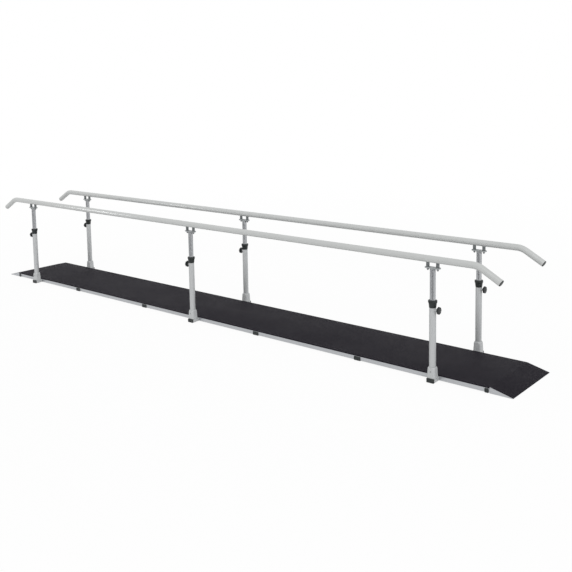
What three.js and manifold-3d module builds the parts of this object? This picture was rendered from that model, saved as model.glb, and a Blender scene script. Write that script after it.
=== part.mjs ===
// Parallel bars for walking practice: two handrails on six telescopic posts, beside a low
// walkway with a ramp at each end. Lengths are in millimetres.
// X runs along the walkway, Y across it and Z up. The origin is on the floor at its middle.

import * as THREE from 'three';
import { mergeVertices } from 'three/addons/utils/BufferGeometryUtils.js';
import Module from 'manifold-3d';

const wasm = await Module();
wasm.setup();

// Driving sizes of the whole object
const postPitch = 2480; // from one post of a row to the next
const deckOverhang = 423; // from the outer posts to the end of the deck
const deckWidth = 634; // over the outer faces of the side rails and the mat
const socketGap = 10; // from a side rail to a post socket
const rampRun = 173; // floor that a ramp covers
const handrailHeight = 900; // centre of a handrail above the floor
const outerPostTop = 549; // top of the fixed post tubes above the floor

// Clearances
const seat = 0.3; // between faces that rest on each other
const slip = 0.3; // radial, between a tube and what it slides in
const boltSlip = 0.5; // radial, between a bolt and its hole
const overrun = 4; // how far a cutting tool runs past a face

// Handrail
const handrailDiameter = 50;
const handrailWall = 2;
const handrailOverhang = 310; // straight tube past the outer posts
const bendRadius = 150;
const bendAngle = THREE.MathUtils.degToRad(30);
const handrailTip = 156; // straight tube past the bend
const plugRim = 5; // part of an end plug outside the tube
const plugDepth = 30; // part of an end plug inside the tube
const plugDome = 3; // how far an end plug bulges
const plugInset = 1; // from the face of the tube to the rim of its plug

// Telescopic posts
const outerPostDiameter = 50;
const outerPostWall = 2;
const innerPostDiameter = 42.4;
const innerPostWall = 2;
const innerPostLength = 574;
const footBushRim = 10; // height of the foot bush below the inner tube
const footBushSpigot = 20; // height of the foot bush inside the inner tube

// Guide bush on top of a fixed post tube
const bushSpigot = 45;
const bushFootDiameter = 51.2;
const bushWaistDiameter = 59;
const bushBodyHeight = 38;
const bushFlangeDiameter = 66;
const bushFlangeHeight = 17;
const bushEdge = 3; // chamfer of the flange

// Post socket
const socketBase = 64;
const socketTop = 58;
const socketCorner = 12;
const socketHeight = 63; // straight taper up to the shoulder
const shoulderHeight = 17;
const socketLip = 1.5; // wall of the socket where the shoulder meets the tube
const socketFloor = 6;
const shoulderShares = [[0, 0], [0.6, 0.4], [1, 1]]; // height, roundness

// Clamp that holds the inner tube: a welded boss, a pressure pad and a knob on a stud
const clampDrop = 16; // below the top of the fixed tube
const bossDiameter = 18;
const bossReach = 34; // from the post axis to the end of the boss
const studDiameter = 10;
const padDiameter = 9.4;
const padLength = 5.5;
const hubReach = 38; // from the post axis to the near end of the hub
const hubDiameter = 22;
const hubRootDiameter = 28;
const knobReach = 43; // from the post axis to the near face of the grip
const knobDiameter = 56;
const knobThickness = 14;
const knobEdge = 3;
const knobLobes = 8;
const knobLobeSteps = 3;
const knobFluteDepth = 2.4;
const knobCapDiameter = 34;
const knobCapHeight = 2;

// Yoke that carries the handrail on an inner tube: a plate whose ends are round about its bolts
const yokeWidth = 44;
const yokePlate = 8;
const yokeCollar = 6; // height of the round below the plate, on the inner tube
const yokeSpigot = 30;
const boltSpacing = 80;
const spacerHeight = 32; // from the plate to the underside of the handrail
const spacerDiameter = 22;
const boltDiameter = 10;
const boltReach = 14; // part of a bolt inside the handrail
const nutAcrossFlats = 17;
const nutHeight = 9; // part of a cap nut with flats
const nutDome = 9; // part of a cap nut below its flats
const nutDomeShares = [[0.88, 0], [0.66, 0.62], [0, 1]]; // of the flats, of the dome

// Walkway
const soleHeight = 2; // rubber between the beams and the floor
const beamWidth = 60;
const endBearerWidth = 30;
const bearerReach = 3; // how far the caps of the bearers stand out of the side rails
const beamHeight = 30;
const beamWall = 2;
const beamCorner = 4;
const midBearerShares = [0.294, 0.722]; // of the post pitch, from the middle post
const endBearerInset = 22; // from the end of the deck to the middle of the end bearer
const boardThickness = 9;
const matThickness = 2.5;
const capThickness = 10;
const capProud = 1; // how far a cap stands out past the sides of its tube
const capEdge = 2; // chamfer of a cap
const capCorner = 5;
const soleLength = 40;
const drainDiameter = 8;
const sideRailWall = 2.5;
const sideRailFoot = 4; // from the floor to the lower edge of a side rail
const sideRailFlange = 20;
const notchSlip = 0.5; // between a side rail and the beams that pass through it
const rampPlate = 3;
const rampTip = 3; // height of the blunt edge on the floor

// Facets of round pieces
const tubeSides = 16;
const boltSides = 8;
const boreSides = 8;
const nutSides = 6;
const cornerSteps = 1;
const socketCornerPoints = 4;
const capCornerPoints = 2;
const bendSteps = 3;
const earSteps = 2;

// Places worked out from the sizes
const deckEnd = postPitch + deckOverhang;
const postOffset = deckWidth / 2 + socketGap + socketBase / 2;
const beamTop = soleHeight + beamHeight;
const boardBottom = beamTop + seat;
const sideRailTop = boardBottom + sideRailWall;
const edgeBottom = sideRailTop + seat; // of what rests on the flanges of the side rails
const matBottom = boardBottom + boardThickness + seat;
const deckTop = matBottom + matThickness;
const socketBottom = beamTop + seat;
const outerPostBottom = socketBottom + socketFloor + seat;
const clampHeight = outerPostTop - clampDrop;
const handrailRadius = handrailDiameter / 2;
const outerPostRadius = outerPostDiameter / 2;
const outerPostBore = outerPostRadius - outerPostWall;
const innerPostRadius = innerPostDiameter / 2;
const innerPostBore = innerPostRadius - innerPostWall;
const yokeTop = -handrailRadius - spacerHeight; // below the centre of the handrail
const yokeDrop = yokePlate + yokeCollar;
const innerPostTop = yokeTop - yokeDrop;
const postPlaces = [-postPitch, 0, postPitch];
const boltPlaces = [-boltSpacing / 2, boltSpacing / 2];
const endBearerPlace = deckEnd - endBearerInset;
const midBearerPlaces = midBearerShares.flatMap((share) => [-share * postPitch, share * postPitch]);

// Each post's place along the walkway, its name, and the way that its knob points
const posts = [
  { name: 'left', place: postPlaces[0], knobWay: -1 },
  { name: 'middle', place: postPlaces[1], knobWay: -1 },
  { name: 'right', place: postPlaces[2], knobWay: 1 },
];

// The far row is the near row turned half round, so its places along X change sign
const rows = [{ name: 'near', way: 1 }, { name: 'far', way: -1 }];
const ends = [{ name: 'left', way: -1 }, { name: 'right', way: 1 }];

// Finishes
function finish(color, roughness, metalness) {
  return new THREE.MeshStandardMaterial({ color, roughness, metalness });
}

const silverPaint = finish(0xc9cacc, 0.42, 0.55);
const chrome = finish(0xb4b7ba, 0.16, 1);
const anodised = finish(0xbfc1c3, 0.38, 0.9);
const zinc = finish(0x8f9295, 0.35, 1);
const blackPlastic = finish(0x2c3131, 0.5, 0);
const darkMat = finish(0x353437, 0.85, 0);
const plywood = finish(0x9a7b55, 0.7, 0);
const whiteNylon = finish(0xe4e2da, 0.5, 0);

// Solids and booleans

function signedVolume(points, corners) {
  const [a, b, c] = [new THREE.Vector3(), new THREE.Vector3(), new THREE.Vector3()];
  let sum = 0;
  for (let i = 0; i < corners.length; i += 3) {
    a.fromBufferAttribute(points, corners[i]);
    b.fromBufferAttribute(points, corners[i + 1]);
    c.fromBufferAttribute(points, corners[i + 2]);
    sum += a.dot(b.cross(c));
  }
  return sum / 6;
}

// A closed geometry as a solid with its faces pointing out
function solid(geometry) {
  const bare = new THREE.BufferGeometry();
  bare.setAttribute('position', geometry.getAttribute('position'));
  bare.setIndex(geometry.index);
  const merged = mergeVertices(bare);
  const points = merged.getAttribute('position');
  const corners = [];
  for (let i = 0; i < merged.index.count; i += 3) {
    const [a, b, c] = [0, 1, 2].map((k) => merged.index.getX(i + k));
    if (a !== b && b !== c && c !== a) corners.push(a, b, c);
  }
  if (signedVolume(points, corners) < 0) corners.reverse();
  return new wasm.Manifold(new wasm.Mesh({
    numProp: 3,
    vertProperties: new Float32Array(points.array),
    triVerts: new Uint32Array(corners),
  }));
}

function joined(...geometries) {
  return geometries.map(solid).reduce((sum, piece) => sum.add(piece));
}

function cut(body, ...tools) {
  return tools.reduce((rest, tool) => rest.subtract(solid(tool)), body);
}

function geometryOf(body) {
  const { vertProperties, triVerts } = body.getMesh();
  const geometry = new THREE.BufferGeometry();
  geometry.setAttribute('position', new THREE.BufferAttribute(vertProperties, 3));
  geometry.setIndex(new THREE.BufferAttribute(triVerts, 1));
  const flat = geometry.toNonIndexed();
  flat.computeVertexNormals();
  return flat;
}

function part(name, geometry, material, x = 0, y = 0, z = 0) {
  const mesh = new THREE.Mesh(geometry, material);
  mesh.name = name;
  mesh.position.set(x, y, z);
  return mesh;
}

// The same, turned half round about Z where the way is -1
function turnedPart(name, geometry, material, way, x = 0) {
  const mesh = part(name, geometry, material, x);
  mesh.rotation.z = way > 0 ? 0 : Math.PI;
  return mesh;
}

// Basic shapes

// A profile of radius and height, turned about Z
function turned(profile, sides = tubeSides) {
  const points = profile.map(([radius, height]) => new THREE.Vector2(radius, height));
  return new THREE.LatheGeometry(points, sides).rotateX(Math.PI / 2);
}

function rod(radius, bottom, top, sides = tubeSides) {
  return turned([[0, bottom], [radius, bottom], [radius, top], [0, top]], sides);
}

function pipe(radius, bore, bottom, top, sides = tubeSides) {
  const profile = [[bore, bottom], [radius, bottom], [radius, top], [bore, top], [bore, bottom]];
  return turned(profile, sides);
}

function block(x0, x1, y0, y1, z0, z1) {
  const box = new THREE.BoxGeometry(x1 - x0, y1 - y0, z1 - z0);
  return box.translate((x0 + x1) / 2, (y0 + y1) / 2, (z0 + z1) / 2);
}

function roundedRectangle(width, height, radius) {
  const shape = new THREE.Shape();
  const [x, y] = [width / 2 - radius, height / 2 - radius];
  shape.absarc(x, y, radius, 0, Math.PI / 2);
  shape.absarc(-x, y, radius, Math.PI / 2, Math.PI);
  shape.absarc(-x, -y, radius, Math.PI, 1.5 * Math.PI);
  shape.absarc(x, -y, radius, 1.5 * Math.PI, 2 * Math.PI);
  shape.closePath();
  return shape;
}

function extruded(shape, depth, curveSegments = cornerSteps) {
  return new THREE.ExtrudeGeometry(shape, { depth, curveSegments, bevelEnabled: false });
}

// Stands an extruded outline up, so that it is centred along Y
function acrossY(geometry, depth) {
  return geometry.rotateX(Math.PI / 2).translate(0, depth / 2, 0);
}

// Points of a rounded rectangle, evenly spread inside each corner
function ringPoints(halfWidth, halfDepth, radius, perCorner) {
  const points = [];
  const centres = [[1, 1], [-1, 1], [-1, -1], [1, -1]];
  centres.forEach(([sx, sy], quarter) => {
    for (let i = 0; i < perCorner; i += 1) {
      const angle = (quarter + (i + 0.5) / perCorner) * (Math.PI / 2);
      const x = sx * (halfWidth - radius) + radius * Math.cos(angle);
      const y = sy * (halfDepth - radius) + radius * Math.sin(angle);
      points.push([x, y]);
    }
  });
  return points;
}

// Joins rings of equal count, each with its height, into a closed skin
function lofted(rings) {
  const count = rings[0].points.length;
  const positions = rings.flatMap(({ points, height }) => points.flatMap(([x, y]) => [x, y, height]));
  const index = [];
  for (let level = 0; level < rings.length - 1; level += 1) {
    for (let i = 0; i < count; i += 1) {
      const [a, b] = [level * count + i, level * count + ((i + 1) % count)];
      index.push(a, b, b + count, a, b + count, a + count);
    }
  }
  const top = (rings.length - 1) * count;
  for (let i = 1; i < count - 1; i += 1) {
    index.push(0, i + 1, i, top, top + i, top + i + 1);
  }
  const geometry = new THREE.BufferGeometry();
  geometry.setAttribute('position', new THREE.Float32BufferAttribute(positions, 3));
  geometry.setIndex(index);
  return geometry;
}

// Walkway: beams and bearers with their caps, side rails, boards, mat and ramps

// A cap with a sole that reaches back under the tube, facing -Y from the tube's end
function tubeCap(width) {
  const halfWidth = width / 2 + capProud;
  const levels = [[0, 0], [capThickness - capEdge, 0], [capThickness, capEdge]];
  const plate = lofted(levels.map(([height, inset]) => ({
    points: ringPoints(halfWidth - inset, beamTop / 2 - inset, capCorner - inset, capCornerPoints),
    height,
  }))).rotateX(Math.PI / 2).translate(0, 0, beamTop / 2);
  const soleHalf = width / 2 - beamCorner;
  const sole = block(-soleHalf, soleHalf, -capEdge, soleLength, 0, soleHeight);
  return [plate, sole];
}

// A rectangular tube across the walkway, on the floor, with a rubber cap on each end
function cappedBeam(width, halfLength) {
  const length = 2 * halfLength;
  const tube = acrossY(extruded(roundedRectangle(width, beamHeight, beamCorner), length), length)
    .translate(0, 0, soleHeight + beamHeight / 2);
  const nearCap = tubeCap(width).map((piece) => piece.translate(0, -halfLength, 0));
  const farCap = nearCap.map((piece) => piece.clone().rotateZ(Math.PI));
  const [boreHalf, boreLength] = [width / 2 - beamWall, halfLength - beamWall];
  const bore = block(-boreHalf, boreHalf, -boreLength, boreLength, soleHeight + beamWall,
    beamTop - beamWall);
  const drain = rod(drainDiameter / 2, 0, soleHeight + beamHeight / 2, nutSides);
  return geometryOf(cut(joined(tube, ...nearCap, ...farCap), bore, drain));
}

// An outline of Y and Z, drawn out along X
function drawnAlong(points, from, to) {
  const section = new THREE.Shape(points.map(([y, z]) => new THREE.Vector2(y, z)));
  return extruded(section, to - from).rotateX(Math.PI / 2).rotateZ(Math.PI / 2).translate(from, 0, 0);
}

// An angle profile whose flange lies on the beams, under the edge of the boards
function sideRail() {
  const face = -deckWidth / 2;
  const [inner, flange] = [face + sideRailWall, face + sideRailFlange];
  const profile = drawnAlong([
    [face, sideRailFoot], [inner, sideRailFoot], [inner, boardBottom], [flange, boardBottom],
    [flange, sideRailTop], [face, sideRailTop],
  ], -deckEnd, deckEnd);
  return geometryOf(cut(solid(profile), ...railNotches(face)));
}

// What the beams and bearers need cut out of a side rail
function railNotches(face) {
  const middles = [...postPlaces, ...midBearerPlaces].map((x) => [x, beamWidth]);
  const ends = [-endBearerPlace, endBearerPlace].map((x) => [x, endBearerWidth]);
  return [...middles, ...ends].map(([x, width]) => {
    const half = notchHalf(width);
    return block(x - half, x + half, face - overrun, face + sideRailFlange + overrun,
      sideRailFoot - overrun, boardBottom);
  });
}

function notchHalf(width) {
  return width / 2 + capProud + notchSlip;
}

// Half of the deck, rebated along both edges over the flanges
function deckBoard(way) {
  const half = deckWidth / 2 - matThickness - slip;
  const rebate = deckWidth / 2 - sideRailFlange - notchSlip;
  const top = boardBottom + boardThickness;
  const ends = way > 0 ? [seat / 2, deckEnd] : [-deckEnd, -seat / 2];
  return geometryOf(solid(drawnAlong([
    [-rebate, boardBottom], [rebate, boardBottom], [rebate, edgeBottom], [half, edgeBottom],
    [half, top], [-half, top], [-half, edgeBottom], [-rebate, edgeBottom],
  ], ...ends)));
}

// Height of the ramp's top surface at a distance from the deck
function rampHeight(distance) {
  return deckTop - (deckTop - rampTip) * (distance / rampRun);
}

// One rubber covering over both ramps and the deck, with its edges turned down beside the boards
function walkwayMat() {
  const width = deckWidth - 2 * sideRailWall - 2 * slip;
  const tip = deckEnd + rampRun;
  const outline = new THREE.Shape([
    [-tip, rampTip], [-deckEnd, deckTop], [deckEnd, deckTop], [tip, rampTip],
    [tip, rampTip - matThickness], [deckEnd, matBottom], [-deckEnd, matBottom],
    [-tip, rampTip - matThickness],
  ].map(([x, z]) => new THREE.Vector2(x, z)));
  const outer = deckWidth / 2;
  const inner = outer - matThickness;
  const deck = drawnAlong([
    [-outer, edgeBottom], [-inner, edgeBottom], [-inner, matBottom], [inner, matBottom],
    [inner, edgeBottom], [outer, edgeBottom], [outer, deckTop], [-outer, deckTop],
  ], -deckEnd, deckEnd);
  return geometryOf(joined(acrossY(extruded(outline, width), width), deck));
}

// A folded ramp at the right end: a plate between two wedge cheeks, open underneath
function ramp() {
  const inside = deckWidth - 2 * sideRailWall;
  const wedge = new THREE.Shape([
    [seat, 0], [rampRun, 0], [rampRun, rampTip], [seat, rampHeight(seat)],
  ].map(([x, z]) => new THREE.Vector2(x, z)));
  const slope = (deckTop - rampTip) / rampRun;
  const plateTop = matThickness + seat;
  const plateBottom = plateTop + rampPlate;
  const floorReach = (deckTop - plateBottom) / slope;
  const hollow = new THREE.Shape([
    [-overrun, -overrun], [floorReach + overrun / slope, -overrun],
    [-overrun, rampHeight(-overrun) - plateBottom],
  ].map(([x, z]) => new THREE.Vector2(x, z)));
  const recessEnd = rampRun + overrun;
  const recess = new THREE.Shape([
    [-overrun, rampHeight(-overrun) - plateTop], [recessEnd, rampHeight(recessEnd) - plateTop],
    [recessEnd, deckTop + overrun], [-overrun, deckTop + overrun],
  ].map(([x, z]) => new THREE.Vector2(x, z)));
  const half = notchHalf(endBearerWidth);
  const bearer = block(-endBearerInset - half, -endBearerInset + half, -deckWidth, deckWidth,
    -overrun, boardBottom);
  return geometryOf(cut(
    solid(acrossY(extruded(wedge, deckWidth), deckWidth)),
    acrossY(extruded(hollow, inside), inside),
    acrossY(extruded(recess, inside), inside),
    bearer,
  ));
}

function walkway() {
  const group = new THREE.Group();
  const beamHalf = postOffset + socketBase / 2 - capThickness / 2;
  const postBeam = cappedBeam(beamWidth, beamHalf);
  const bearerHalf = deckWidth / 2 + bearerReach - capThickness;
  const midBearer = cappedBeam(beamWidth, bearerHalf);
  const endBearer = cappedBeam(endBearerWidth, bearerHalf);
  posts.forEach(({ name, place }) => {
    group.add(part(`post_beam_${name}`, postBeam, silverPaint, place));
  });
  ends.forEach(({ name, way }) => {
    midBearerShares.forEach((share, i) => {
      const place = way * share * postPitch;
      group.add(part(`mid_bearer_${name}_${i + 1}`, midBearer, silverPaint, place));
    });
    group.add(part(`end_bearer_${name}`, endBearer, silverPaint, way * endBearerPlace));
    group.add(part(`deck_board_${name}`, deckBoard(way), plywood));
    group.add(turnedPart(`ramp_${name}`, ramp(), anodised, way, way * deckEnd));
  });
  rows.forEach(({ name, way }) => {
    group.add(turnedPart(`side_rail_${name}`, sideRail(), anodised, way));
  });
  group.add(part('walkway_mat', walkwayMat(), darkMat));
  return group;
}

// Fixed posts: sockets, tubes and guide bushes

function socketRing(half, corner, height) {
  return { points: ringPoints(half, half, corner, socketCornerPoints), height };
}

// A cast boot, square at its foot and round at its top
function postSocket() {
  const topRadius = outerPostRadius + slip + socketLip;
  const lerp = THREE.MathUtils.lerp;
  const shoulder = shoulderShares.map(([heightShare, roundShare]) => {
    const half = lerp(socketTop / 2, topRadius, roundShare);
    return socketRing(half, lerp(socketCorner, half, roundShare),
      socketHeight + shoulderHeight * heightShare);
  });
  const skin = lofted([socketRing(socketBase / 2, socketCorner, 0), ...shoulder]);
  const bore = rod(outerPostRadius + slip, socketFloor, socketHeight + shoulderHeight + overrun);
  return geometryOf(cut(solid(skin), bore));
}

// The fixed tube with its welded clamp boss; knobWay says which side the boss is on
function outerPost(knobWay) {
  const tube = pipe(outerPostRadius, outerPostBore, outerPostBottom, outerPostTop);
  const boss = rod(bossDiameter / 2, outerPostBore + seat, bossReach, boreSides)
    .rotateY(knobWay * Math.PI / 2).translate(0, 0, clampHeight);
  return geometryOf(cut(joined(tube, boss), clampTool(knobWay, clampHeight)));
}

// The hole for the clamp's stud and pad, from the post axis out
function clampTool(knobWay, height) {
  const radius = studDiameter / 2 + boltSlip;
  return rod(radius, 0, bossReach + overrun, boltSides)
    .rotateY(knobWay * Math.PI / 2).translate(0, 0, height);
}

// The plastic bush that guides the inner tube; its origin is at the top of the fixed tube
function guideBush(knobWay) {
  const bore = innerPostRadius + slip;
  const spigot = outerPostBore - slip;
  const flange = bushFlangeDiameter / 2;
  const top = bushBodyHeight + bushFlangeHeight;
  const profile = [
    [bore, -bushSpigot], [spigot, -bushSpigot], [spigot, seat], [bushFootDiameter / 2, seat],
    [bushWaistDiameter / 2, bushBodyHeight - bushEdge], [flange, bushBodyHeight],
    [flange, top - bushEdge], [flange - bushEdge, top], [bore, top], [bore, -bushSpigot],
  ];
  return geometryOf(cut(solid(turned(profile)), clampTool(knobWay, -clampDrop)));
}

function fixedPosts(row) {
  const group = new THREE.Group();
  posts.forEach(({ name, place, knobWay }) => {
    const x = row.way * place;
    const way = row.way * knobWay;
    group.add(
      part(`post_socket_${row.name}_${name}`, postSocket(), silverPaint, x, 0, socketBottom),
      part(`outer_post_${row.name}_${name}`, outerPost(way), silverPaint, x),
      part(`guide_bush_${row.name}_${name}`, guideBush(way), blackPlastic, x, 0, outerPostTop),
    );
  });
  return group;
}

// Clamps: a pad that presses on the inner tube and a knob on a stud behind it

function pressurePad() {
  const front = innerPostRadius + seat;
  return rod(padDiameter / 2, front, front + padLength, boltSides);
}

function knobOutline() {
  const points = [];
  const steps = knobLobes * knobLobeSteps;
  for (let i = 0; i < steps; i += 1) {
    const angle = (i / steps) * 2 * Math.PI;
    const flute = knobFluteDepth * (0.5 - 0.5 * Math.cos(knobLobes * angle));
    const radius = knobDiameter / 2 - flute;
    points.push(new THREE.Vector2(radius * Math.cos(angle), radius * Math.sin(angle)));
  }
  return new THREE.Shape(points);
}

// A fluted grip with its hub and stud, along +Z from the post axis
function clampKnob() {
  const grip = new THREE.ExtrudeGeometry(knobOutline(), {
    depth: knobThickness - 2 * knobEdge,
    bevelThickness: knobEdge,
    bevelSize: knobEdge,
    bevelOffset: -knobEdge,
    bevelSegments: 1,
  }).translate(0, 0, knobReach + knobEdge);
  const tip = innerPostRadius + seat + padLength + seat;
  const front = knobReach + knobThickness;
  const cap = knobCapDiameter / 2;
  const core = turned([
    [0, tip], [studDiameter / 2, tip], [studDiameter / 2, hubReach], [hubDiameter / 2, hubReach],
    [hubRootDiameter / 2, knobReach + knobEdge], [cap, front - knobEdge], [cap, front],
    [0, front + knobCapHeight],
  ], boreSides);
  return geometryOf(joined(grip, core));
}

// Places a clamp piece, modelled along +Z from the post axis, at its post
function atClamp(mesh, place, way) {
  mesh.position.set(place, 0, clampHeight);
  mesh.rotation.y = way * Math.PI / 2;
  return mesh;
}

function clamps(row) {
  const group = new THREE.Group();
  posts.forEach(({ name, place, knobWay }) => {
    const x = row.way * place;
    const way = row.way * knobWay;
    group.add(
      atClamp(part(`pressure_pad_${row.name}_${name}`, pressurePad(), whiteNylon), x, way),
      atClamp(part(`clamp_knob_${row.name}_${name}`, clampKnob(), blackPlastic), x, way),
    );
  });
  return group;
}

// Moving bars: handrail with its plugs, inner tubes with their foot bushes, and yokes

// A path through set stations, each with its own tangent
class StationPath extends THREE.Curve {
  constructor(stations) {
    super();
    this.stations = stations;
  }

  stationAt(share) {
    return this.stations[Math.round(share * (this.stations.length - 1))];
  }

  getPoint(share) {
    return this.stationAt(share).point.clone();
  }

  getPointAt(share) {
    return this.getPoint(share);
  }

  getTangentAt(share) {
    return this.stationAt(share).tangent.clone();
  }
}

// The right half of the handrail's centre line, up to where its last straight is tip long
function handrailStations(tip) {
  const straight = postPitch + handrailOverhang;
  const stations = [];
  const add = (x, z, angle) => stations.push({
    point: new THREE.Vector3(x, 0, z),
    tangent: new THREE.Vector3(Math.cos(angle), 0, -Math.sin(angle)),
  });
  for (let i = 0; i <= bendSteps; i += 1) {
    const angle = bendAngle * (i / bendSteps);
    add(straight + bendRadius * Math.sin(angle), bendRadius * (Math.cos(angle) - 1), angle);
  }
  const { point, tangent } = stations[bendSteps];
  stations.push({ point: point.clone().addScaledVector(tangent, tip), tangent });
  return stations;
}

function mirrored({ point, tangent }) {
  return {
    point: new THREE.Vector3(-point.x, point.y, point.z),
    tangent: new THREE.Vector3(tangent.x, tangent.y, -tangent.z),
  };
}

// A round bar of the handrail's shape, bent down at both ends
function bentBar(radius, tip, sides) {
  const right = handrailStations(tip);
  const stations = [...right.map(mirrored).reverse(), ...right];
  const circle = Array.from({ length: sides }, (unused, i) => {
    const angle = (i / sides) * 2 * Math.PI;
    return new THREE.Vector2(radius * Math.cos(angle), radius * Math.sin(angle));
  });
  return new THREE.ExtrudeGeometry(new THREE.Shape(circle), {
    extrudePath: new StationPath(stations),
    steps: stations.length - 1,
  });
}

// The handrail tube with a plug in each end and the holes for its bolts
function handrail() {
  const bar = solid(bentBar(handrailRadius, handrailTip, tubeSides));
  const bore = bentBar(handrailRadius - handrailWall, handrailTip - plugDepth, boreSides);
  const radius = boltDiameter / 2 + boltSlip;
  const holes = railBoltPlaces().map((x) => (
    rod(radius, -handrailRadius - overrun, -handrailRadius / 2, boltSides).translate(x, 0, 0)));
  return geometryOf(cut(plugRims().reduce((sum, rim) => sum.add(rim), bar), bore, ...holes));
}

function railBoltPlaces() {
  return postPlaces.flatMap((x) => boltPlaces.map((bolt) => x + bolt));
}

// The domed rims of the two plugs, outside the ends of the tube
function plugRims() {
  const end = handrailStations(handrailTip).at(-1);
  const radius = handrailRadius - plugInset;
  const profile = [
    [0, -seat], [radius, -seat], [radius, plugRim - plugDome], [0, plugRim],
  ];
  return [[end, 1], [mirrored(end), -1]].map(([{ point, tangent }, way]) => {
    const axis = tangent.clone().multiplyScalar(way);
    const turn = new THREE.Quaternion().setFromUnitVectors(new THREE.Vector3(0, 0, 1), axis);
    return solid(turned(profile).applyQuaternion(turn).translate(point.x, point.y, point.z));
  });
}

// A plate on a round foot that plugs into the inner tube, with its origin at the plate's top
function yoke() {
  const spigot = innerPostBore - slip;
  const foot = turned([
    [0, -yokeDrop - yokeSpigot], [spigot, -yokeDrop - yokeSpigot], [spigot, -yokeDrop],
    [innerPostRadius, -yokeDrop], [innerPostRadius, -yokePlate / 2], [0, -yokePlate / 2],
  ]);
  const length = boltSpacing + yokeWidth;
  const plate = extruded(roundedRectangle(length, yokeWidth, yokeWidth / 2), yokePlate, earSteps)
    .translate(0, 0, -yokePlate);
  const fixings = boltPlaces.flatMap((x) => [spacer(), railBolt()].map((piece) => (
    piece.translate(x, 0, -yokeTop))));
  return geometryOf(fixings.reduce((sum, piece) => sum.add(piece), joined(plate, foot)));
}

// A sleeve from the yoke up to the underside of the handrail
function spacer() {
  return solid(rod(spacerDiameter / 2, yokeTop, -handrailRadius - seat, boreSides));
}

// A bolt with its cap nut under the yoke and its end inside the handrail
function railBolt() {
  const corner = nutAcrossFlats / 2 / Math.cos(Math.PI / nutSides);
  const top = yokeTop - yokePlate;
  const flatsEnd = top - nutHeight;
  const dome = nutDomeShares.map(([radius, depth]) => (
    [radius * nutAcrossFlats / 2, flatsEnd - depth * nutDome]));
  return joined(
    rod(boltDiameter / 2, top, -handrailRadius + boltReach, boltSides),
    rod(corner, flatsEnd, top, nutSides),
    turned([[0, flatsEnd], ...dome], boltSides),
  );
}

// The sliding tube with a plastic bush in its foot, down from the foot of its yoke
function innerPost() {
  const top = -seat;
  const bottom = top - innerPostLength;
  const rim = outerPostBore - slip;
  const wallMiddle = innerPostRadius - innerPostWall / 2;
  const bush = turned([
    [0, bottom - footBushRim], [rim - footBushRim / 2, bottom - footBushRim],
    [rim, bottom - footBushRim / 2], [rim, bottom], [wallMiddle, bottom],
    [wallMiddle, bottom + footBushSpigot], [0, bottom + footBushSpigot],
  ]);
  return geometryOf(joined(pipe(innerPostRadius, innerPostBore, bottom, top), bush));
}

function movingBar(row) {
  const group = new THREE.Group();
  group.position.z = handrailHeight;
  group.add(part(`handrail_${row.name}`, handrail(), silverPaint));
  posts.forEach(({ name, place }) => {
    const x = row.way * place;
    group.add(
      part(`yoke_${row.name}_${name}`, yoke(), zinc, x, 0, yokeTop),
      part(`inner_post_${row.name}_${name}`, innerPost(), chrome, x, 0, innerPostTop),
    );
  });
  return group;
}

function rowOf(row) {
  const group = new THREE.Group();
  group.position.y = -row.way * postOffset;
  group.rotation.z = row.way > 0 ? 0 : Math.PI;
  group.add(fixedPosts(row), clamps(row), movingBar(row));
  return group;
}

const parallelBars = new THREE.Group();
parallelBars.add(walkway(), ...rows.map(rowOf));

export default parallelBars;
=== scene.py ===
"""Walking parallel bars: fine surfaces, finishes, floor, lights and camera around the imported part.

Lengths are in metres. X runs along the walkway, Y across it and Z up, from the floor. A corner
of an outline is (x, y) or (x, y, rounding), and one of a turned profile is its radius and height.
"""

from math import atan2, cos, pi, radians, sin, sqrt, tan

import bmesh
import bpy
from bpy.props import FloatProperty, FloatVectorProperty, IntProperty, PointerProperty
from mathutils import Matrix, Vector


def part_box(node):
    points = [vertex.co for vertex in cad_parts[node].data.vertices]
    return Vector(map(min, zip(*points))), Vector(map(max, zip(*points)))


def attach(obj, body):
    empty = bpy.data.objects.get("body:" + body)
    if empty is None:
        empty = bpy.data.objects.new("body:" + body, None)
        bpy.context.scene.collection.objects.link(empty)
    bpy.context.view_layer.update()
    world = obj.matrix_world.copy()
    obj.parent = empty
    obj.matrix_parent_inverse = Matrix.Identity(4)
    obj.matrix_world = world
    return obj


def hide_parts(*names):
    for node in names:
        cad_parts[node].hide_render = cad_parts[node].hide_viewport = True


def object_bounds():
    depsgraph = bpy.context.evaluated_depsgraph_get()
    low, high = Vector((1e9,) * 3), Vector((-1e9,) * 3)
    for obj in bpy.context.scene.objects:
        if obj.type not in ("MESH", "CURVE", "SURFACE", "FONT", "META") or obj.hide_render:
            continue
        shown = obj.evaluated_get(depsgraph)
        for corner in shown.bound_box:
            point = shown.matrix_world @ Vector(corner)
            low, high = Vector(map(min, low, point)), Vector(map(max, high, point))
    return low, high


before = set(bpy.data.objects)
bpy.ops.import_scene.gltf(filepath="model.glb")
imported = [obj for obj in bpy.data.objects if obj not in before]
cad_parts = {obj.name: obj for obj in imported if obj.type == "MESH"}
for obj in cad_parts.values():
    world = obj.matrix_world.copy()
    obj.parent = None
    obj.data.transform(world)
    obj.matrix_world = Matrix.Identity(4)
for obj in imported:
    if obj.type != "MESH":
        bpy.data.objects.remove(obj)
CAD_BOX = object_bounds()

bl_info = {
    "name": "Walking Parallel Bars",
    "version": (1, 0, 0),
    "blender": (4, 5, 0),
    "location": "3D View > Sidebar > Parallel Bars",
    "description": "Dresses a pair of height-adjustable walking bars and their walkway",
    "category": "Object",
}

ROWS = {"near": 1, "far": -1}
SIDES = ("left", "middle", "right")
ENDS = {"left": -1, "right": 1}
WHITE = (1, 1, 1, 1)

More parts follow.
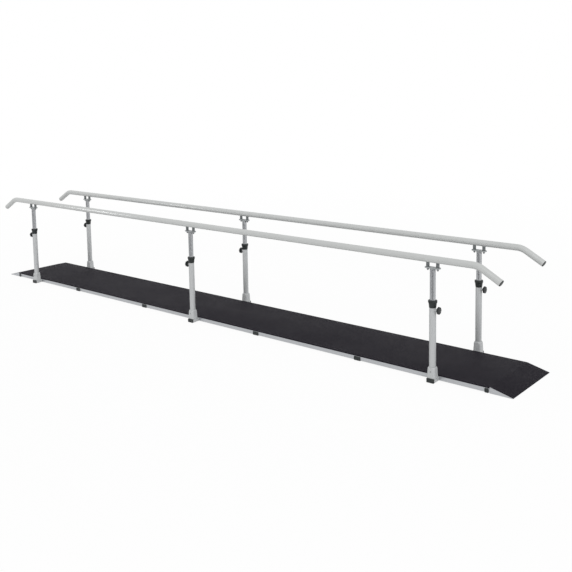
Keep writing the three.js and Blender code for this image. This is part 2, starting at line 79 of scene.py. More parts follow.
# Gaps between pieces that fit together, and round a bolt or stud in its hole
FIT, HOLE_FIT = 0.0003, 0.0005

# Usual roundings of edges
FINE, SMALL, SOFT = 0.0006, 0.0008, 0.001

# Points that are nearer than this are one
SAME_POINT = 1e-7

# Faces at a larger angle meet in an edge that looks sharp
SHARP_ANGLE = radians(38)


# Properties


def number(name, description, default, **kind):
    """A property that holds one number."""
    return FloatProperty(name=name, description=description, default=default, **kind)


def length(name, description, default):
    """A length property in metres."""
    return number(name, description, default, min=0, precision=4, unit="LENGTH")


def linear(value):
    """One channel of a colour as the eye reads it, 0 to 255, made linear."""
    share = value / 255
    return share / 12.92 if share <= 0.04045 else ((share + 0.055) / 1.055) ** 2.4


def colour(name, description, *channels):
    """A colour property, given by its channels from 0 to 255."""
    return FloatVectorProperty(name=name, description=description, subtype="COLOR", min=0, max=1,
                               default=[linear(value) for value in channels])


def angle_of(name, description, default):
    """An angle property in radians."""
    return number(name, description, default, subtype="ANGLE")


class RailSizes(bpy.types.PropertyGroup):
    """Sizes of the two handrails."""

    diameter: length("Diameter", "Outer diameter", 0.05)
    wall: length("Wall", "Wall of the tube", 0.002)
    overhang: length("Overhang", "Straight tube past the outer posts", 0.31)
    bend_radius: length("Bend radius", "Radius of the bends, at the centre line", 0.15)
    bend_angle: angle_of("Bend angle", "How far the ends are bent down", radians(30))
    tip: length("Tip", "Straight tube past each bend", 0.156)
    plug_rim: length("Plug rim", "Part of a plug outside the tube", 0.005)
    plug_inset: length("Plug inset", "How far the plug's rim is inside the tube's", 0.001)
    plug_depth: length("Plug depth", "Part of a plug inside the tube", 0.03)


class PostSizes(bpy.types.PropertyGroup):
    """Sizes of the fixed tubes, boots, guide bushes and sliding tubes."""

    tube_diameter: length("Fixed tube", "Outer diameter of the fixed tube", 0.05)
    tube_wall: length("Fixed wall", "Wall of the fixed tube", 0.002)
    inner_diameter: length("Sliding tube", "Outer diameter of the sliding tube", 0.0424)
    inner_wall: length("Sliding wall", "Wall of the sliding tube", 0.002)
    foot_height: length("Foot bush", "Height of the bush below the sliding tube", 0.01)
    boot_base: length("Boot base", "Width of a boot at its foot", 0.064)
    boot_top: length("Boot top", "Width of a boot at its shoulder", 0.058)
    boot_corner: length("Boot corner", "Corner radius of a boot", 0.012)
    boot_shoulder: length("Boot shoulder", "Height of the rounded shoulder", 0.017)
    screw: length("Screw", "Diameter of the boot's screw head", 0.0104)
    screw_height: length("Screw height", "From the foot of a boot up to its screw", 0.049)
    bush_foot: length("Bush foot", "Diameter at the foot of a guide bush", 0.0512)
    bush_waist: length("Bush waist", "Diameter under the flange of a guide bush", 0.059)
    bush_flange: length("Bush flange", "Diameter of the flange of a guide bush", 0.066)
    flange_height: length("Flange height", "Height of the flange", 0.017)
    boss_diameter: length("Boss", "Diameter of the welded clamp boss", 0.018)
    boss_reach: length("Boss reach", "From the post axis to the end of the boss", 0.034)


class ClampSizes(bpy.types.PropertyGroup):
    """Sizes of the clamp knobs."""

    stud: length("Stud", "Diameter of the threaded stud", 0.01)
    hub_reach: length("Hub reach", "From the post axis to the hub", 0.038)
    hub: length("Hub", "Diameter of the hub at its near end", 0.022)
    hub_root: length("Hub root", "Diameter of the hub at the grip", 0.028)
    grip_reach: length("Grip reach", "From the post axis to the grip", 0.043)
    grip: length("Grip", "Diameter of the grip over its lobes", 0.056)
    thickness: length("Thickness", "Thickness of the grip", 0.014)
    edge: length("Edge", "Rounding of the grip's rims", 0.003)
    flute: length("Flute", "Depth of the hollows between the lobes", 0.0024)
    lobes: IntProperty(name="Lobes", description="Lobes round the grip", default=8, min=3)
    cap: length("Cap", "Diameter of the raised centre", 0.034)


class YokeSizes(bpy.types.PropertyGroup):
    """Sizes of the yokes that carry the handrails."""

    width: length("Width", "Width of the plate", 0.044)
    plate: length("Plate", "Thickness of the plate", 0.008)
    collar: length("Collar", "Height of the round under the plate", 0.006)
    spigot: length("Spigot", "Part of the foot inside the sliding tube", 0.03)
    spacing: length("Bolt spacing", "Between the two bolts", 0.08)
    sleeve: length("Sleeve", "Diameter of the spacer sleeves", 0.025)
    sleeve_height: length("Sleeve height", "From the plate up to the handrail", 0.032)
    bolt: length("Bolt", "Diameter of the bolts", 0.01)
    bolt_reach: length("Bolt reach", "Part of a bolt inside the handrail", 0.012)
    nut_flats: length("Nut", "Cap nut across its flats", 0.017)
    nut_height: length("Nut height", "Height of the flats and the washer", 0.009)
    nut_dome: length("Nut dome", "Height of the dome below the flats", 0.009)


class WalkwaySizes(bpy.types.PropertyGroup):
    """Sizes of the beams, caps, side rails, ramps and mat."""

    beam_height: length("Beam height", "Height of the cross tubes", 0.03)
    beam_corner: length("Beam corner", "Corner radius of the cross tubes", 0.004)
    sole_height: length("Sole", "Rubber under the cross tubes", 0.002)
    cap_thickness: length("Cap", "Thickness of the end caps", 0.01)
    cap_proud: length("Cap edge", "How far a cap stands out past its tube", 0.001)
    cap_corner: length("Cap corner", "Corner radius of the caps", 0.005)
    mat_thickness: length("Mat", "Thickness of the rubber covering", 0.0025)
    ramp_tip: length("Ramp tip", "Height of the ramp at the floor", 0.003)
    edge: length("Edge", "Rounding of the metal profiles", 0.0006)


class Finishes(bpy.types.PropertyGroup):
    """Colours of the finishes."""

    silver_paint: colour("Silver paint", "Fixed tubes, boots and cross tubes", 182, 184, 185)
    rail_paint: colour("Rail paint", "Handrails", 189, 191, 190)
    anodised: colour("Aluminium", "Side rails and ramps", 184, 186, 189)
    chrome: colour("Chrome", "Sliding tubes", 176, 178, 180)
    yoke_steel: colour("Yoke grey", "Yokes under the handrails", 156, 160, 161)
    sleeve: colour("Sleeve grey", "Spacer sleeves", 114, 118, 119)
    zinc: colour("Zinc", "Bolts, nuts, screws and studs", 150, 152, 153)
    black_plastic: colour("Black plastic", "Guide bushes, plugs and caps", 26, 32, 32)
    knob_plastic: colour("Knob plastic", "Clamp knobs", 24, 29, 30)
    mat: colour("Mat", "Rubber covering of the walkway", 41, 38, 46)
    plywood: colour("Plywood", "Deck boards", 168, 134, 92)
    nylon: colour("Nylon", "Foot bushes and pressure pads", 226, 224, 216)


class StageSettings(bpy.types.PropertyGroup):
    """Camera, lights and floor."""

    lens: number("Lens", "Focal length of the camera", 51.449, subtype="DISTANCE_CAMERA")
    shift: number("Shift", "Upward shift of the frame, as a share of it", -0.2)
    heading: angle_of("Heading", "Turn of the view from +Y towards -X", 0.69547)
    pitch: angle_of("Pitch", "Downward tilt of the view", 0.11229)
    roll: angle_of("Roll", "Roll of the camera", -0.01768)
    place: FloatVectorProperty(name="Place", description="Where the camera stands",
                               default=(5.3366, -5.3905, 2.1867), subtype="TRANSLATION",
                               unit="LENGTH")
    key: number("Key light", "Strength of the soft key light", 1.0, min=0)
    key_spread: angle_of("Key spread", "Angle that the key light fills", radians(35))
    key_way: FloatVectorProperty(name="Key direction", description="Where the key light shines",
                                 default=(-0.7, 0.7, -1.0), subtype="DIRECTION")
    sky: number("Sky", "Strength of the light from all round", 0.75, min=0)
    # The strip glows only in reflections on the rails and lights nothing: a painted highlight
    strip: number("Strip light", "Strength of the panel that the rails show", 11, min=0)
    floor: colour("Floor", "Colour of the floor", 244, 244, 244)
    # The screens and the flag show only in reflections: painted reflections in the metal
    screen: colour("Screen", "Colour of the screens that the metal reflects", 246, 246, 247)
    flag: colour("Flag", "Colour of the dark flag that the posts reflect", 70, 72, 74)
    floor_white: number("Floor white", "Share of plain white near the object", 0.9, min=0, max=1,
                        subtype="FACTOR")


GROUPS = {"rail": RailSizes, "posts": PostSizes, "clamp": ClampSizes, "yoke": YokeSizes,
          "walkway": WalkwaySizes, "finishes": Finishes, "stage": StageSettings}


class BarsSettings(bpy.types.PropertyGroup):
    """Every setting of the parallel bars."""

    __annotations__ = {name: PointerProperty(type=group) for name, group in GROUPS.items()}


# Steps, which are matrices that move a piece


def shift(x, y, z):
    """A step over a distance."""
    return Matrix.Translation((x, y, z))


def turn(angle, axis):
    """A step about an axis."""
    return Matrix.Rotation(angle, 4, axis)


def moved(bm, *steps):
    """The same bmesh, taken over steps, the first one first."""
    for step in steps:
        bm.transform(step)
    return bm


# Settings, and places read from the frame


def settings_of(group):
    """The settings of one group."""
    return getattr(bpy.context.scene.walking_bars, group)


def middle_of(node):
    """Centre of a CAD node's box."""
    low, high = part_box(node)
    return (low + high) / 2


class Post:
    """One of the six posts, placed by the boxes of its CAD nodes."""

    def __init__(self, row, side):
        self.row, self.name = row, f"{row}_{side}"
        self.axis = middle_of(f"post_socket_{self.name}")
        knob = middle_of(f"clamp_knob_{self.name}")
        self.knob_way, self.knob_height = (1 if knob.x > self.axis.x else -1), knob.z

    def at(self, height):
        """The step that takes a piece to the axis of the post."""
        return shift(self.axis.x, self.axis.y, height)

    def to_knob(self):
        """The steps that lay a piece, made along +Z, out towards the knob."""
        return turn(self.knob_way * pi / 2, "Y"), self.at(self.knob_height)


def all_posts():
    """The six posts, row by row."""
    return [Post(row, side) for row in ROWS for side in SIDES]


# Outlines and skins


def rounded(corners, steps=3):
    """The points of an outline, with its corners rounded."""
    points = []
    for i, corner in enumerate(corners):
        here = Vector(corner[:2])
        radius = corner[2] if len(corner) > 2 else 0
        if not radius:
            points.append(here)
            continue
        before, after = ((Vector(corners[j % len(corners)][:2]) - here).normalized()
                         for j in (i - 1, i + 1))
        half = before.angle(after) / 2
        centre = here + (before + after).normalized() * (radius / sin(half))
        first, last = (here + way * (radius / tan(half)) - centre for way in (before, after))
        sweep = atan2(first.cross(last), first.dot(last))
        points += [centre + Matrix.Rotation(sweep * k / steps, 2) @ first
                   for k in range(steps + 1)]
    return points


def rectangle(half, high, corner, steps):
    """The points of a rounded rectangle about the origin."""
    return rounded([(x * half, z * high, corner)
                    for x, z in ((-1, -1), (1, -1), (1, 1), (-1, 1))], steps)


def ring_angles(sides):
    """Even angles once round."""
    return [2 * pi * i / sides for i in range(sides)]


def quarter(steps):
    """Even angles over a right angle, both ends included."""
    return [pi / 2 * k / steps for k in range(steps + 1)]


def polar(radius, angle, height):
    """A point at an angle round Z."""
    return Vector((radius * cos(angle), radius * sin(angle), height))


def circle(radius, height, sides):
    """A level ring of points."""
    return [polar(radius, angle, height) for angle in ring_angles(sides)]


def square_ring(half, corner, height, per_corner=9):
    """A level ring of points on a rounded square."""
    straight = half - corner
    return [polar(corner, (k + i / (per_corner - 1)) * pi / 2, height)
            + Vector((x * straight, y * straight, 0))
            for k, (x, y) in enumerate(((1, 1), (-1, 1), (-1, -1), (1, -1)))
            for i in range(per_corner)]


def hexagon(across, height, per_side=4):
    """A level ring of points on a hexagon."""
    corners = [polar(across / 2 / cos(pi / 6), k * pi / 3, height) for k in range(6)]
    return [corners[k].lerp(corners[(k + 1) % 6], i / per_side)
            for k in range(6) for i in range(per_side)]


def mirrored(rings):
    """Rings on the other side of X, in order from the far one."""
    return [[Vector((-p.x, p.y, p.z)) for p in ring] for ring in reversed(rings)]


def skin(rings, hollow=False, bm=None):
    """Faces between rings of points, where a ring of one point is a tip. The ends are closed,
    or in a hollow shape the last ring is joined to the first."""
    bm = bmesh.new() if bm is None else bm
    made = [[bm.verts.new(point) for point in ring] for ring in rings]
    for low, high in list(zip(made, made[1:])) + ([(made[-1], made[0])] if hollow else []):
        count = max(len(low), len(high))
        low, high = (ring * count if len(ring) == 1 else ring for ring in (low, high))
        for i in range(count):
            j = (i + 1) % count
            bm.faces.new(tuple(dict.fromkeys((low[i], low[j], high[j], high[i]))))
    if not hollow:
        for ring in (made[0], made[-1]):
            if len(ring) > 2:
                bm.faces.new(ring)
    return bm


def turned(profile, steps=3, sides=64, hollow=False, bm=None):
    """A profile turned about Z."""
    return skin([circle(radius, height, sides) if radius > SAME_POINT else [Vector((0, 0, height))]
                 for radius, height in rounded(profile, steps)], hollow, bm)


def prism(outline, reach, bm=None):
    """An outline of Y and Z, drawn along X to both sides."""
    return skin([[Vector((x, y, z)) for y, z in outline] for x in (-reach, reach)], bm=bm)


def soft_side(bottom, top, soft, steps=4):
    """Insets and heights of a side whose lower and upper edges are rounded."""
    return ([(soft * (1 - sin(a)), bottom + soft * (1 - cos(a))) for a in quarter(steps)]
            + [(soft * (1 - cos(a)), top - soft * (1 - sin(a))) for a in quarter(steps)])


# Pieces


def new_object(name, bm, material):
    """A mesh object from a bmesh, smooth but for its sharp edges."""
    bmesh.ops.remove_doubles(bm, verts=bm.verts, dist=SAME_POINT)
    bmesh.ops.recalc_face_normals(bm, faces=bm.faces)
    mesh = bpy.data.meshes.new(name)
    bm.to_mesh(mesh)
    bm.free()
    mesh.materials.append(material)
    mesh.shade_smooth()
    mesh.set_sharp_from_angle(angle=SHARP_ANGLE)
    made = bpy.data.objects.new(name, mesh)
    bpy.context.scene.collection.objects.link(made)
    return made


def add_piece(name, bm, finish, *steps, body="walkway", slot=None, node=None):
    """A piece on its body, taken there over steps, which may stand for a CAD node.
    The slot argument is not used."""
    piece = new_object(name, moved(bm, *steps), finish_of(finish))
    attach(piece, body)
    if node:
        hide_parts(node)


def refinish(node, finish):
    """A better material for a CAD node that stays."""
    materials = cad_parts[node].data.materials
    materials.clear()
    materials.append(finish_of(finish))


# Shader maths


class Wire:
    """A socket of a material's nodes. Arithmetic on it adds Math nodes."""

    def __init__(self, tree, socket=None):
        self.tree, self.socket = tree, socket

    def node(self, kind, settings=None, inputs=None, output=0):
        """Adds a node with its settings and inputs, and gives one of its outputs."""
        made = self.tree.nodes.new(kind)
        for name, value in (settings or {}).items():
            if name == "stops":
                for element, (place, shade) in zip(made.color_ramp.elements, value):
                    element.position, element.color = place, (shade, shade, shade, 1)
            else:
                setattr(made, name, value)
        for name, value in (inputs or {}).items():
            if isinstance(value, Wire):
                self.tree.links.new(value.socket, made.inputs[name])
            else:
                made.inputs[name].default_value = value
        return Wire(self.tree, made.outputs[output] if made.outputs else None)

    def math(self, operation, first, second):
        """A Math node on two values."""
        return self.node("ShaderNodeMath", {"operation": operation}, {0: first, 1: second})

    def __add__(self, other):
        return self.math("ADD", self, other)

    __radd__ = __add__

    def __sub__(self, other):
        return self.math("SUBTRACT", self, other)

    def __rsub__(self, other):
        return self.math("SUBTRACT", other, self)

    def __mul__(self, other):
        return self.math("MULTIPLY", self, other)

    __rmul__ = __mul__


def scaled(shade, share):
    """A colour made lighter or darker by a share."""
    return tuple(min(channel * share, 1) for channel in shade)


class Finish:
    """A material and the nodes that its pattern starts from."""

    def __init__(self, name, metallic=0.0, specular=0.5, coat=0.0, coat_roughness=0.1):
        self.material = bpy.data.materials.new(name)
        self.material.use_nodes = True
        self.tree = self.material.node_tree
        self.sockets = self.tree.nodes["Principled BSDF"].inputs
        self.sockets["Metallic"].default_value = metallic
        self.sockets["Specular IOR Level"].default_value = specular
        self.sockets["Coat Weight"].default_value = coat
        self.sockets["Coat Roughness"].default_value = coat_roughness
        self.maths = Wire(self.tree)
        self.place = self.maths.node("ShaderNodeTexCoord", output="Object")

    def stretched(self, x, y, z):
        """The surface's place, scaled along each axis."""
        return self.maths.node("ShaderNodeVectorMath", {"operation": "MULTIPLY"},
                               {0: self.place, 1: (x, y, z)})

    def noise(self, scale, detail, roughness, place=None):
        """A noise from 0 to 1, by its lumps per metre."""
        return self.maths.node("ShaderNodeTexNoise", None, {
            "Vector": place or self.place, "Scale": scale, "Detail": detail,
            "Roughness": roughness})

    def cells(self, scale):
        """Distance to the nearest of scattered points, by their number per metre."""
        return self.maths.node("ShaderNodeTexVoronoi", None, {
            "Vector": self.place, "Scale": scale}, output="Distance")

    def ramp(self, value, *stops):
        """A value passed through a ramp between two grey stops."""
        return self.maths.node("ShaderNodeValToRGB", {"stops": stops}, {0: value})

    def blend(self, share, first, second):
        """A colour between two colours."""
        first, second = (c if isinstance(c, Wire) else (*c, 1) for c in (first, second))
        return self.maths.node("ShaderNodeMix", {"data_type": "RGBA"}, {
            0: share, 6: first, 7: second}, output=2)

    def toned(self, share, shade, dark, light):
        """A shade that goes from a darker to a lighter tone."""
        return self.blend(share, scaled(shade, dark), scaled(shade, light))

    def done(self, base, roughness, height, depth, relief):
        """The material, with its patterns linked and a relief to a depth in metres."""
        normal = self.maths.node("ShaderNodeBump", None, {
            "Strength": relief, "Distance": depth, "Height": height}, output="Normal")
        for name, value in (("Base Color", base), ("Roughness", roughness), ("Normal", normal)):
            self.tree.links.new(value.socket, self.sockets[name])
        return self.material


def painted(name, shade, metallic, rough, flake=0.1, coat=0.15, peel=0.00014):
    """Powder paint: fine flakes, an orange peel, soft clouds and the odd rubbed place."""
    finish = Finish(name, metallic=metallic, coat=coat, coat_roughness=0.25)
    flakes = finish.ramp(finish.cells(1500), (0.1, 0), (0.75, 1))
    clouds = finish.noise(7, 4, 0.6)
    rubbed = finish.ramp(finish.noise(34, 6, 0.7), (0.52, 0), (0.72, 1))
    fresh = finish.toned(flakes, shade, 1 - flake, 1 + flake)
    return finish.done(
        finish.blend(0.3 * clouds + 0.25 * rubbed, fresh, scaled(shade, 0.86)),
        rough + 0.1 * (clouds - 0.5) - 0.12 * rubbed, finish.noise(360, 2, 0.45), peel, 0.8)


def brushed(name, shade):
    """Anodised aluminium profile, drawn lengthwise."""
    finish = Finish(name, metallic=0.75)
    streaks = finish.noise(1, 5, 0.65, finish.stretched(1.6, 700, 700))
    clouds = finish.noise(5, 3, 0.5)
    return finish.done(
        finish.toned(streaks, shade, 0.82, 1.12),
        0.36 + 0.24 * (streaks - 0.5) + 0.08 * (clouds - 0.5), streaks, 0.00005, 0.6)


def chromed(name, shade):
    """Bright drawn tube: fine lengthwise lines, finger marks and faint rubbing."""
    finish = Finish(name, metallic=1.0)
    lines = finish.noise(1, 4, 0.6, finish.stretched(700, 700, 2.2))
    marks = finish.ramp(finish.noise(16, 5, 0.6), (0.45, 0), (0.7, 1))
    return finish.done(
        finish.toned(lines, shade, 0.93, 1.04),
        0.13 + 0.07 * lines + 0.1 * marks, lines, 0.000012, 0.35)


def cast(name, shade):
    """Cast metal with a fine grain, its tone varying in soft clouds."""
    finish = Finish(name, metallic=0.15)
    grain = finish.noise(620, 4, 0.6)
    clouds = finish.noise(38, 3, 0.5)
    return finish.done(
        finish.toned(clouds, shade, 0.86, 1.12),
        0.5 + 0.16 * (grain - 0.5) + 0.08 * (clouds - 0.5), grain, 0.00007, 0.5)


def machined(name, shade):
    """Dark steel with turning marks."""
    finish = Finish(name, metallic=0.5)
    marks = finish.noise(1, 3, 0.6, finish.stretched(40, 40, 2400))
    return finish.done(
        finish.toned(marks, shade, 0.85, 1.15), 0.4 + 0.15 * marks, marks, 0.00003, 0.4)


def plated(name, shade):
    """Zinc plate with faint cloudy passivation."""
    finish = Finish(name, metallic=1.0)
    clouds = finish.noise(120, 4, 0.6)
    return finish.done(
        finish.toned(clouds, shade, 0.85, 1.08), 0.26 + 0.18 * clouds,
        finish.noise(900, 2, 0.5), 0.00002, 0.4)


def moulded(name, shade, rough, grain=850, depth=0.00006):
    """Moulded plastic with a spark-eroded grain, and lighter random patches of handling wear that
    also paint a sheen into the colour.
    """
    finish = Finish(name, specular=0.45)
    pits = finish.cells(grain)
    # Lighter random patches: handling wear, with a painted sheen in the base colour
    wear_and_sheen = finish.noise(26, 4, 0.6)
    return finish.done(
        finish.toned(wear_and_sheen, shade, 0.85, 1.22),
        rough + 0.12 * (wear_and_sheen - 0.5) + 0.08 * (pits - 0.4), pits, depth, 0.5)


def rubber(name, shade):
    """Pebbled rubber sheet, with painted shade darkening the hollows between its pebbles, and dust
    in broad patches.
    """
    finish = Finish(name, specular=0.1)
    pebbles = finish.cells(300)
    fine = finish.noise(1500, 3, 0.6)
    dust = finish.ramp(finish.noise(2.2, 5, 0.62, finish.stretched(0.5, 1, 1)),
                       (0.35, 0), (0.8, 1))
    # Painted shade: the hollows between the pebbles are darkened to under half the mat's colour
    painted_hollow_shade = finish.ramp(pebbles, (0.1, 1), (0.6, 0))
    return finish.done(
        finish.blend(painted_hollow_shade, scaled(shade, 0.45), finish.toned(0.35 * dust, shade, 1, 1.4)),
        0.7 + 0.14 * dust - 0.12 * fine, 1 - pebbles + 0.2 * fine, 0.0007, 0.8)


def plywood(name, shade):
    """Plywood: grain along the boards and darker plies on their edges."""
    finish = Finish(name, specular=0.4)
    grain = finish.noise(1, 5, 0.6, finish.stretched(3, 120, 120))
    height = finish.maths.node("ShaderNodeSeparateXYZ", None, {0: finish.place}, output=2)
    plies = finish.ramp(700 * finish.maths.math("PINGPONG", height, 0.0015), (0.35, 0), (0.65, 1))
    return finish.done(
        finish.blend(plies, finish.toned(grain, shade, 0.8, 1), scaled(shade, 0.62)),
        0.62 + 0.15 * grain, grain, 0.0001, 0.4)


# The maker of each finish and its settings. Its colour has the same name in Finishes
MAKERS = {
    "silver_paint": (painted, {"metallic": 0.1, "rough": 0.45}),
    "rail_paint": (painted, {"metallic": 0.0, "rough": 0.25, "flake": 0.06, "coat": 0.0,
                             "peel": 0.00004}),
    "anodised": (brushed, {}),
    "chrome": (chromed, {}),
    "yoke_steel": (cast, {}),
    "sleeve": (machined, {}),
    "zinc": (plated, {}),
    "black_plastic": (moulded, {"rough": 0.48}),
    "knob_plastic": (moulded, {"rough": 0.38, "grain": 1100, "depth": 0.00003}),
    "mat": (rubber, {}),
    "plywood": (plywood, {}),
    "nylon": (moulded, {"rough": 0.42, "grain": 1300, "depth": 0.00002}),
}


def finish_of(kind):
    """The material for one kind of finish, made once."""
    name = f"{kind}_finish"
    make, settings = MAKERS[kind]
    shade = getattr(settings_of("finishes"), kind)
    return bpy.data.materials.get(name) or make(name, shade, **settings)


# Handrails


def slope(angle):
    """The way along a handrail that goes down at an angle."""
    return Vector((cos(angle), 0, -sin(angle)))


def rail_stations(sizes, steps=10):
    """Points and angles of the right half of a handrail's centre line."""
    start, bend = middle_of("inner_post_near_right").x + sizes.overhang, sizes.bend_radius
    stations = [(Vector((start + bend * sin(angle), 0, bend * (cos(angle) - 1))), angle)
                for angle in (sizes.bend_angle * i / steps for i in range(steps + 1))]
    point, angle = stations[-1]
    return stations + [(point + sizes.tip * slope(angle), angle)]


def rail_ring(radius, point, angle, sides=56):
    """A ring of the handrail, square to its centre line."""
    across, up = Vector((0, 1, 0)), Vector((sin(angle), 0, cos(angle)))
    return [point + radius * (cos(a) * across + sin(a) * up) for a in ring_angles(sides)]


def rail_tube(sizes):
    """The bent tube, with its wall shown at both ends."""
    outer, wall, lip = sizes.diameter / 2, sizes.wall, sizes.wall / 4
    *line, (end, angle) = rail_stations(sizes)
    rim = [(outer, -lip), (outer - lip, 0), (outer - wall + lip, 0), (outer - wall, -lip),
           (outer - wall, -sizes.plug_depth)]
    rings = [rail_ring(outer, point, tilt) for point, tilt in line]
    rings += [rail_ring(radius, end + depth * slope(angle), angle) for radius, depth in rim]
    return skin(mirrored(rings) + rings)


def end_plug(sizes):
    """A domed plug along +Z from the face of its tube."""
    outer, shank = (sizes.diameter / 2 - inset for inset in (sizes.plug_inset, sizes.wall))
    rim, depth = sizes.plug_rim, sizes.plug_depth / 2
    return turned([(0, -depth), (shank, -depth, SOFT), (shank, 0), (outer, 0, FINE),
                   (outer, rim * 0.55, 0.0014), (outer * 0.8, rim * 0.9, 0.006), (0, rim)], 4, 56)


class BARS_OT_handrails(bpy.types.Operator):
    """Two round handrails with their ends bent down, and a plug in each end"""

    bl_idname = "bars.handrails"
    bl_label = "Handrails"

    def execute(self, context):
        sizes = settings_of("rail")
        end, angle = rail_stations(sizes)[-1]
        for row in ROWS:
            body, node = f"{row}_bar", f"handrail_{row}"
            place = shift(0, middle_of(f"inner_post_{row}_middle").y,
                          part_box(node)[1].z - sizes.diameter / 2)
            add_piece(f"rail_tube_{row}", rail_tube(sizes), "rail_paint", place, body=body,
                      node=node)
            for side, way in ENDS.items():
                add_piece(f"rail_plug_{row}_{side}", end_plug(sizes), "black_plastic",
                          turn(way * (pi / 2 + angle), "Y"), shift(way * end.x, 0, end.z),
                          place, body=body)
        return {"FINISHED"}


# Yokes with their sleeves, bolts and cap nuts


def slot_ring(reach, radius, height, per_end=21):
    """A level ring of points round a bar whose ends are round about two axes."""
    angles = [pi * (i / (per_end - 1) - 0.5) for i in range(per_end)]
    return [Vector((way * (reach + radius * cos(a)), way * radius * sin(a), height))
            for way in (1, -1) for a in angles]


def yoke_body(sizes, posts):
    """The plate and its round foot, which plugs into the sliding tube. Its top is at zero."""
    bm = skin([slot_ring(sizes.spacing / 2, sizes.width / 2 - inset, height)
               for inset, height in soft_side(-sizes.plate, 0, SOFT)])
    collar = posts.inner_diameter / 2
    spigot = collar - posts.inner_wall - FIT
    drop, middle = -sizes.plate - sizes.collar, -sizes.plate / 2
    return turned([(0, drop - sizes.spigot), (spigot, drop - sizes.spigot, 0.0015),
                   (spigot, drop), (collar, drop, SMALL), (collar, middle), (0, middle)],
                  4, 56, bm=bm)


def spacer_sleeve(sizes, rail_radius):
    """A sleeve up from the plate, whose top is hollowed to fit round the handrail."""
    bore, outer = sizes.bolt / 2 + HOLE_FIT, sizes.sleeve / 2
    top = sizes.sleeve_height - FIT
    bm = turned([(bore, 0), (outer, 0, SMALL), (outer, top, FINE), (bore, top)], 3, 56, True)
    for vert in bm.verts:
        if vert.co.z > top / 2:
            vert.co.z += rail_radius - sqrt(rail_radius ** 2 - vert.co.y ** 2)
    return bm


def bolt_and_nut(sizes):
    """A bolt up into the handrail, with a washer and a cap nut below zero."""
    flats, deep, washer, dome = sizes.nut_flats, sizes.nut_height, 0.0015, sizes.nut_dome
    rim, face, gap = flats * 0.62, flats * 0.48, FINE
    bm = turned([(0, 0), (rim, 0, 0.0003), (rim, -washer, 0.0003), (0, -washer)], 2, 40)
    rings = [circle(face, -washer, 24), hexagon(flats, -washer - 0.0007),
             hexagon(flats, -deep + SMALL), circle(face, -deep, 24)]
    rings += [circle(flats * 0.44 * cos(a), -deep - gap - (dome - gap) * sin(a), 24)
              for a in quarter(7)[:-1]]
    skin(rings + [[Vector((0, 0, -deep - dome))]], bm=bm)
    radius, top = sizes.bolt / 2, sizes.plate + sizes.sleeve_height + sizes.bolt_reach
    return turned([(0, -washer / 2), (radius, -washer / 2), (radius, top), (0, top)],
                  sides=24, bm=bm)


class BARS_OT_yokes(bpy.types.Operator):
    """Six yokes that carry the handrails, each with two sleeves, two bolts and cap nuts"""

    bl_idname = "bars.yokes"
    bl_label = "Yokes"

    def execute(self, context):
        sizes, posts = settings_of("yoke"), settings_of("posts")
        rail_radius, down = settings_of("rail").diameter / 2, shift(0, 0, -sizes.plate)
        for post in all_posts():
            name, on = post.name, {"body": f"{post.row}_bar", "slot": "yoke_steel"}
            place = post.at(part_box(f"handrail_{post.row}")[1].z - 2 * rail_radius
                            - sizes.sleeve_height)
            add_piece(f"yoke_body_{name}", yoke_body(sizes, posts), "yoke_steel", place,
                      node=f"yoke_{name}", **on)
            add_piece(f"yoke_weld_{name}", weld_bead(posts.inner_diameter / 2, 0.0012),
                      "yoke_steel", down, place, **on)
            for side, way in ENDS.items():
                out = shift(way * sizes.spacing / 2, 0, 0)
                add_piece(f"rail_sleeve_{name}_{side}", spacer_sleeve(sizes, rail_radius),
                          "sleeve", out, place, **on)
                add_piece(f"rail_bolt_{name}_{side}", bolt_and_nut(sizes), "zinc", down, out,
                          place, **on)
        return {"FINISHED"}


# Sliding tubes


def tube_wall(radius, wall, bottom, top, soft=0.0004):
    """A tube with soft rims."""
    return turned([(radius - wall, bottom, soft), (radius, bottom, soft), (radius, top, soft),
                   (radius - wall, top, soft)], 2, hollow=True)


def foot_bush(sizes, rim, bottom):
    """A bush that closes the foot of a sliding tube and reaches up into it."""
    inside = sizes.inner_diameter / 2 - sizes.inner_wall
    foot = bottom + sizes.foot_height
    top = foot + 2 * sizes.foot_height
    return turned([(0, bottom), (rim, bottom, 0.004), (rim, foot, 0.0005), (inside, foot),
                   (inside, top, SOFT), (0, top)], 3, 48)


class BARS_OT_sliding_tubes(bpy.types.Operator):
    """Six bright sliding tubes with a bush in their foot"""

    bl_idname = "bars.sliding_tubes"
    bl_label = "Sliding tubes"

    def execute(self, context):
        sizes = settings_of("posts")
        for post in all_posts():
            body, node, place = f"{post.row}_bar", f"inner_post_{post.name}", post.at(0)
            low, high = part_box(node)
            tube = tube_wall(sizes.inner_diameter / 2, sizes.inner_wall,
                             low.z + sizes.foot_height, high.z)
            add_piece(f"sliding_tube_{post.name}", tube, "chrome", place, body=body, node=node)
            add_piece(f"foot_bush_{post.name}", foot_bush(sizes, (high - low).y / 2, low.z),
                      "nylon", place, body=body)
        return {"FINISHED"}


# Fixed posts


def boot(sizes, height, floor):
    """A hollow boot, square at its foot and round where the tube leaves it."""
    base, top, corner = sizes.boot_base / 2, sizes.boot_top / 2, sizes.boot_corner
    lip, bore = sizes.tube_diameter / 2 + 0.0018, sizes.tube_diameter / 2 + FIT
    shoulder, soft = height - sizes.boot_shoulder, 0.0012
    rings = [square_ring(base - inset, corner - inset, z)
             for inset, z in ((soft, 0), (soft * 0.3, soft * 0.3), (0, soft))]
    rings += [square_ring(base + (top - base) * k / 8, corner, shoulder * k / 8)
              for k in range(1, 9)]
    for a in quarter(8)[1:]:
        half = top + (lip - top) * (1 - cos(a))
        rings.append(square_ring(half, corner + (half - corner) * (1 - cos(a)),
                                 shoulder + sizes.boot_shoulder * sin(a)))
    return skin(rings + [square_ring(bore, bore, z) for z in (height, floor)])


